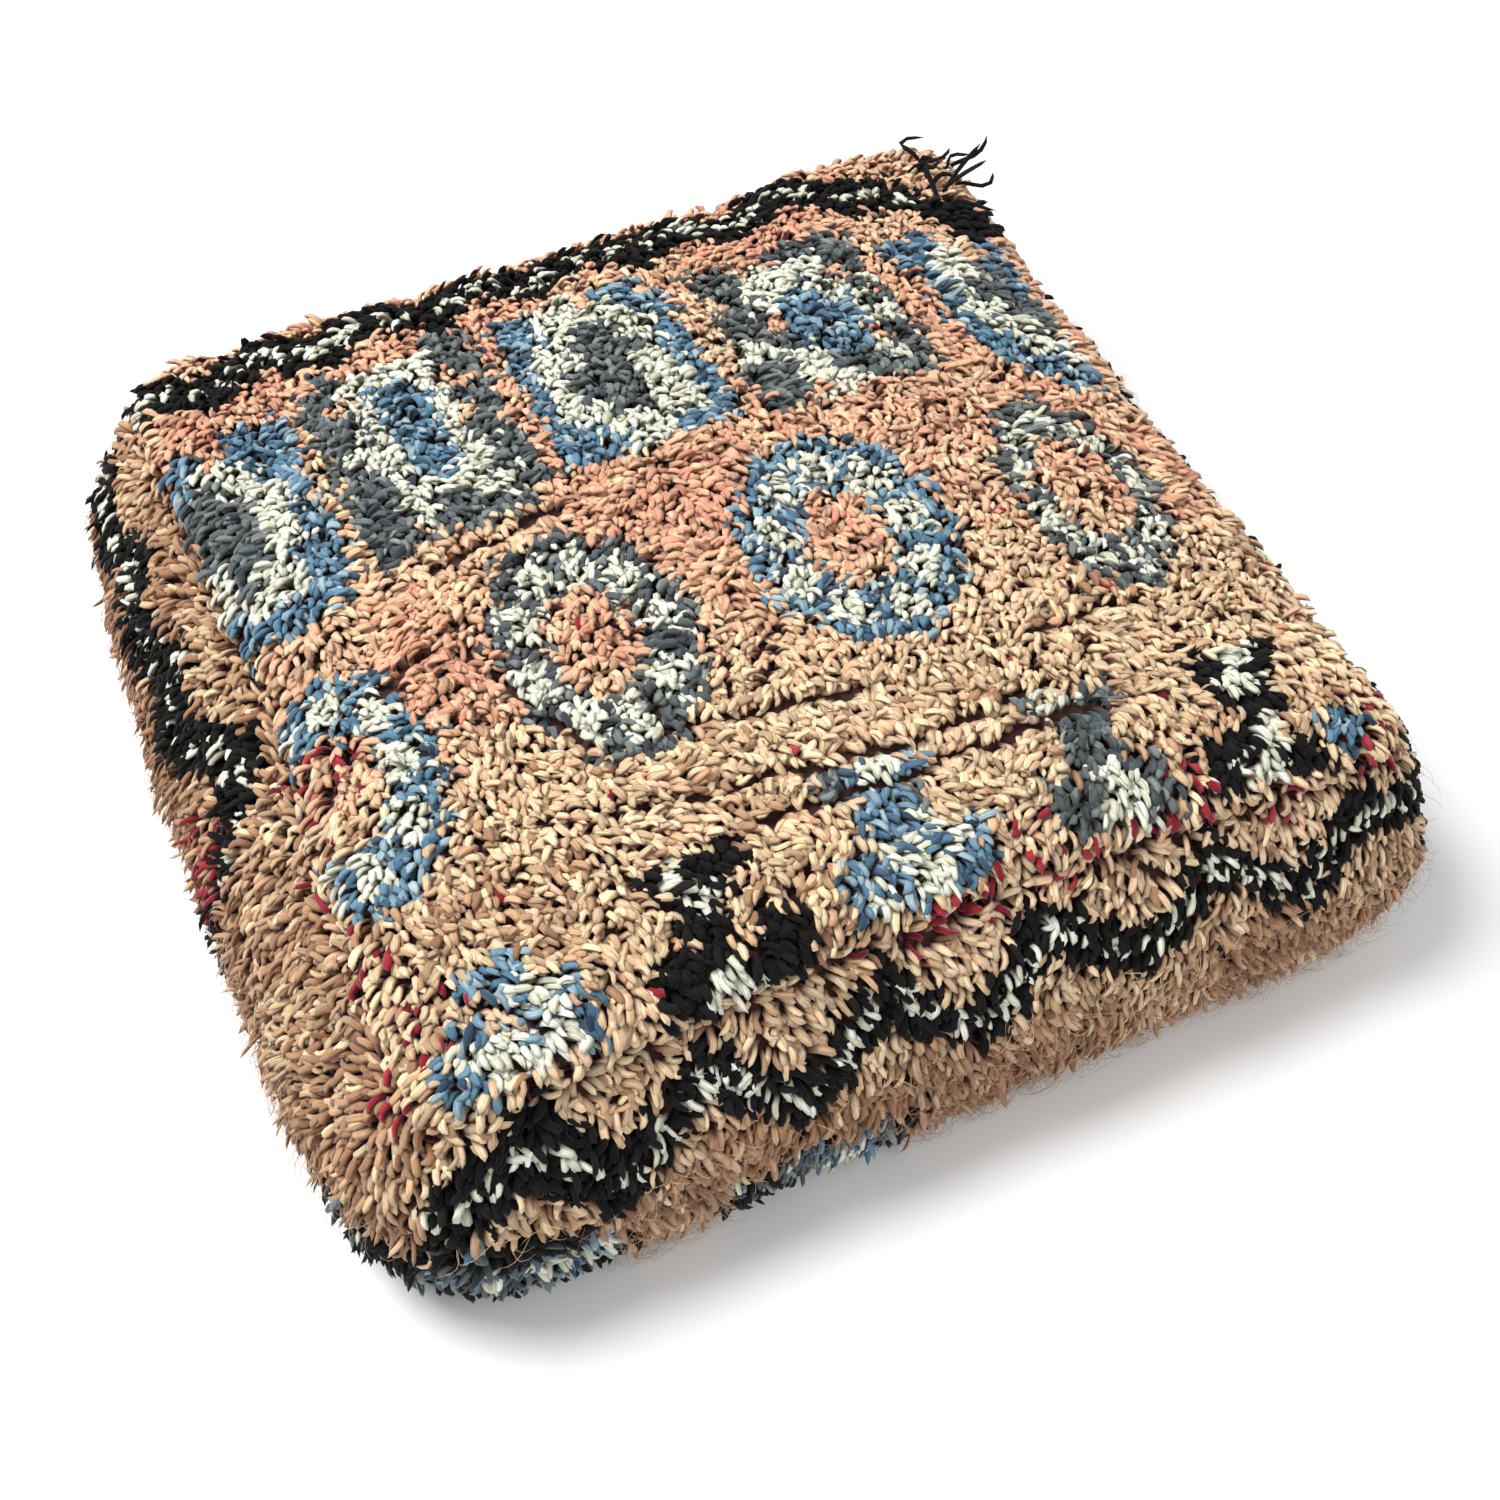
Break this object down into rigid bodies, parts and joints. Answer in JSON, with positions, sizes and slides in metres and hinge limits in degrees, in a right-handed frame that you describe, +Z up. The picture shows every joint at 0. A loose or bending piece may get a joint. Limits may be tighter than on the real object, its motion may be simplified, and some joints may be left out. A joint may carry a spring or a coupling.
{
  "type": "floor cushion",
  "caption": "Low boxed floor cushion with a shaggy patterned knotted-pile rug cover, cotton base with a recessed zip, and a stuffed inner case.",
  "frame": {"origin": "on the floor, under the middle of the cushion", "axes": "+X from left to right along the front panel, +Y from the front panel to the back panel, +Z up"},
  "size_m": [0.616, 0.616, 0.198],
  "materials": {
    "rug_wool": "shaggy knotted wool pile",
    "seam_thread": "twisted wool yarn",
    "base_canvas": "plain-woven cotton canvas",
    "zip_tape": "woven tape",
    "zip_chain": "moulded teeth",
    "zip_metal": "worn cast metal",
    "case_cotton": "plain cotton",
    "stuffing_fibre": "loose fibre"
  },
  "bodies": {
    "cover": {"rug_top_panel": "rug_wool", "rug_front_panel": "rug_wool", "rug_right_panel": "rug_wool", "rug_back_panel": "rug_wool", "rug_left_panel": "rug_wool", "corner_seam_thread_left_front": "seam_thread", "corner_seam_thread_front_right": "seam_thread", "corner_seam_thread_right_back": "seam_thread", "corner_seam_thread_back_left": "seam_thread", "top_seam_thread": "seam_thread", "bottom_seam_thread": "seam_thread", "base_cloth_front": "base_canvas", "base_cloth_back": "base_canvas", "zip_tape_front": "zip_tape", "zip_tape_back": "zip_tape", "zip_chain_front": "zip_chain", "zip_chain_back": "zip_chain", "zip_top_stop": "zip_metal", "zip_bottom_stop": "zip_metal", "inner_case_top": "case_cotton", "inner_case_boxing": "case_cotton", "inner_case_bottom": "case_cotton", "stuffing": "stuffing_fibre"},
    "slider": {"zip_slider": "zip_metal"},
    "pull": {"zip_pull": "zip_metal"}
  },
  "joints": [
    {"name": "zip_slide", "type": "slide", "parent": "cover", "child": "slider", "axis": [-1, 0, 0], "range_m": [0, 0.376]},
    {"name": "pull_swing", "type": "hinge", "parent": "slider", "child": "pull", "pos_m": [0.1885, 0, 0.00745], "axis": [0, -1, 0], "range_deg": [0, 180]}
  ]
}
